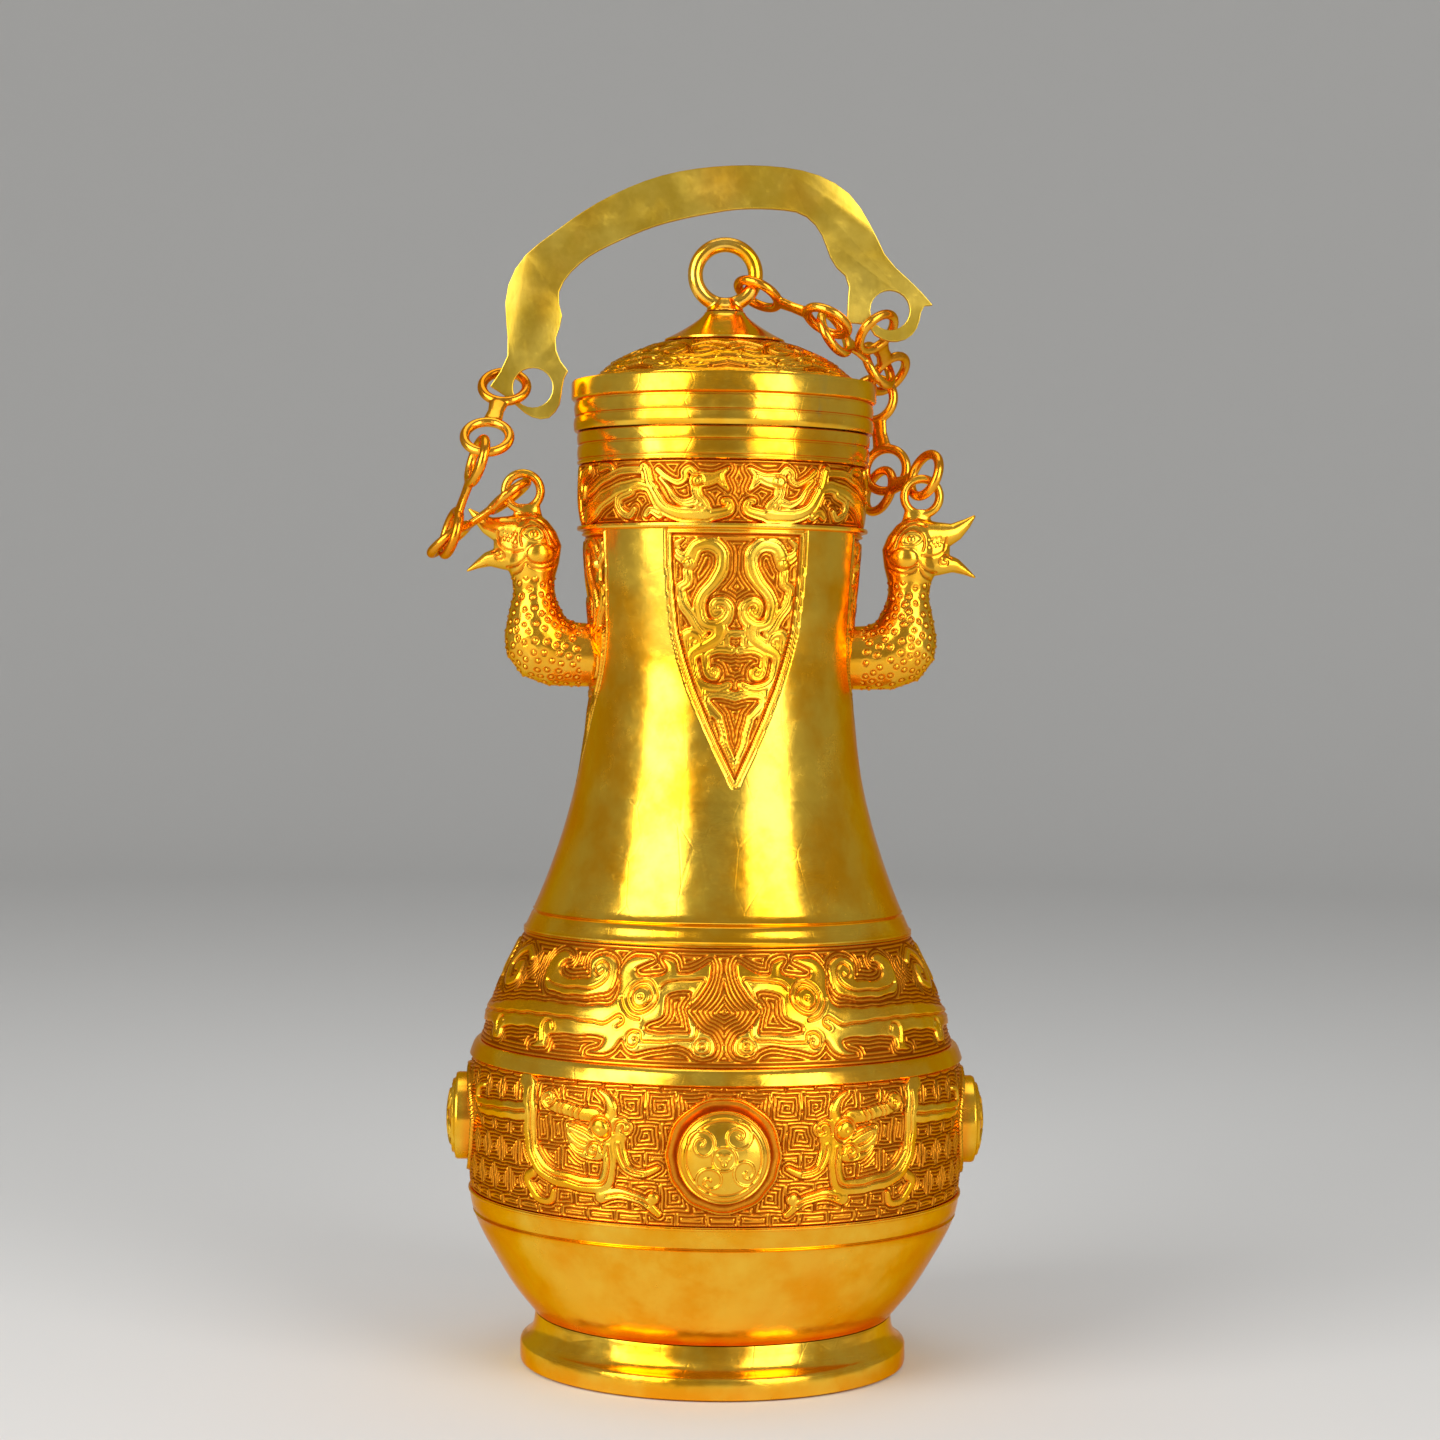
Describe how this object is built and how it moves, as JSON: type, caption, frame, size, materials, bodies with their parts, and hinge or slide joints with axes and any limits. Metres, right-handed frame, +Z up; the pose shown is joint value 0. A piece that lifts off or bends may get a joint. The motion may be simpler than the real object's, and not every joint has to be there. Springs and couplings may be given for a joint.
{
  "type": "chain-handled lidded flask",
  "caption": "Gilt bronze lidded flask in an archaic ritual style, with a bow handle hung on chains from two bird-head lugs and a lid tied to the chain.",
  "frame": {"origin": "centre of the foot's underside, on the surface the flask stands on", "axes": "+Z up along the vessel's axis; +X to the right bird head and -X to the left one as seen from the front; -Y to the front"},
  "size_m": [0.1594, 0.1536, 0.3375],
  "materials": {
    "gilt": "gilt, polished on the high places, warm orange-red in the recesses",
    "handle_gilt": "gilt, worn, greenish yellow with fine scratches",
    "chain_gilt": "gilt, warm orange-gold"
  },
  "bodies": {
    "flask": {"vessel": "gilt", "foot": "gilt", "boss_front": "gilt", "boss_back": "gilt", "boss_left": "gilt", "boss_right": "gilt", "left_bird": "gilt", "right_bird": "gilt"},
    "handle": {"handle": "handle_gilt"},
    "left_top_link": {"left_link_top": "chain_gilt"},
    "right_top_link": {"right_link_top": "chain_gilt"},
    "left_bottom_link": {"left_link_bottom": "chain_gilt"},
    "left_middle_link": {"left_link_middle": "chain_gilt"},
    "right_bottom_link": {"right_link_bottom": "chain_gilt"},
    "right_middle_link": {"right_link_middle": "chain_gilt"},
    "lid": {"lid": "gilt", "lid_ring": "gilt"},
    "lid_upper_link": {"lid_link_upper": "chain_gilt"},
    "lid_lower_link": {"lid_link_lower": "chain_gilt"}
  },
  "joints": [
    {"name": "handle_swing", "type": "hinge", "parent": "flask", "child": "handle", "pos_m": [-0.05565, 0, 0.27431], "axis": [0.9796, -0.0001, 0.2009], "range_deg": [-4, 30]},
    {"name": "left_top_hang", "type": "hinge", "parent": "handle", "child": "left_top_link", "pos_m": [-0.05565, 0, 0.27431], "axis": [0.9796, -0.0001, 0.2009], "range_deg": [-30, 4]},
    {"name": "right_top_hang", "type": "hinge", "parent": "handle", "child": "right_top_link", "pos_m": [0.04749, 0, 0.29546], "axis": [0.9796, -0.0001, 0.2009], "range_deg": [-30, 4]},
    {"name": "left_chain_swing", "type": "hinge", "parent": "flask", "child": "left_bottom_link", "pos_m": [-0.06065, 0.00132, 0.24261], "axis": [-0.2395, -0.8146, 0.5284], "range_deg": [-38, 4]},
    {"name": "left_middle_twist", "type": "hinge", "parent": "left_bottom_link", "child": "left_middle_link", "pos_m": [-0.07507, -0.01727, 0.23087], "axis": [0.3063, -0.0932, 0.9474], "range_deg": [-8, 3]},
    {"name": "right_chain_swing", "type": "hinge", "parent": "flask", "child": "right_bottom_link", "pos_m": [0.05327, 0.00096, 0.24732], "axis": [0.2165, -0.5738, -0.7898], "range_deg": [-4, 18]},
    {"name": "right_middle_twist", "type": "hinge", "parent": "right_bottom_link", "child": "right_middle_link", "pos_m": [0.04985, 0.01436, 0.24953], "axis": [-0.1666, 0.3019, 0.9387], "range_deg": [-1.5, 3.5]},
    {"name": "lid_lift", "type": "slide", "parent": "flask", "child": "lid", "axis": [0, 0, 1], "range_m": [0, 0.003]},
    {"name": "lid_chain_swing", "type": "hinge", "parent": "lid", "child": "lid_upper_link", "pos_m": [0.00615, -0.00128, 0.30759], "axis": [0.8335, 0.1746, -0.5242], "range_deg": [-8, 2]},
    {"name": "lid_lower_twist", "type": "hinge", "parent": "lid_upper_link", "child": "lid_lower_link", "pos_m": [0.02629, 0.00086, 0.29626], "axis": [0.7667, 0.2965, -0.5695], "range_deg": [-10, 3]}
  ],
  "couplings": [
    {"joint": "left_top_hang", "follows": "handle_swing", "ratio": -1},
    {"joint": "right_top_hang", "follows": "handle_swing", "ratio": -1}
  ]
}
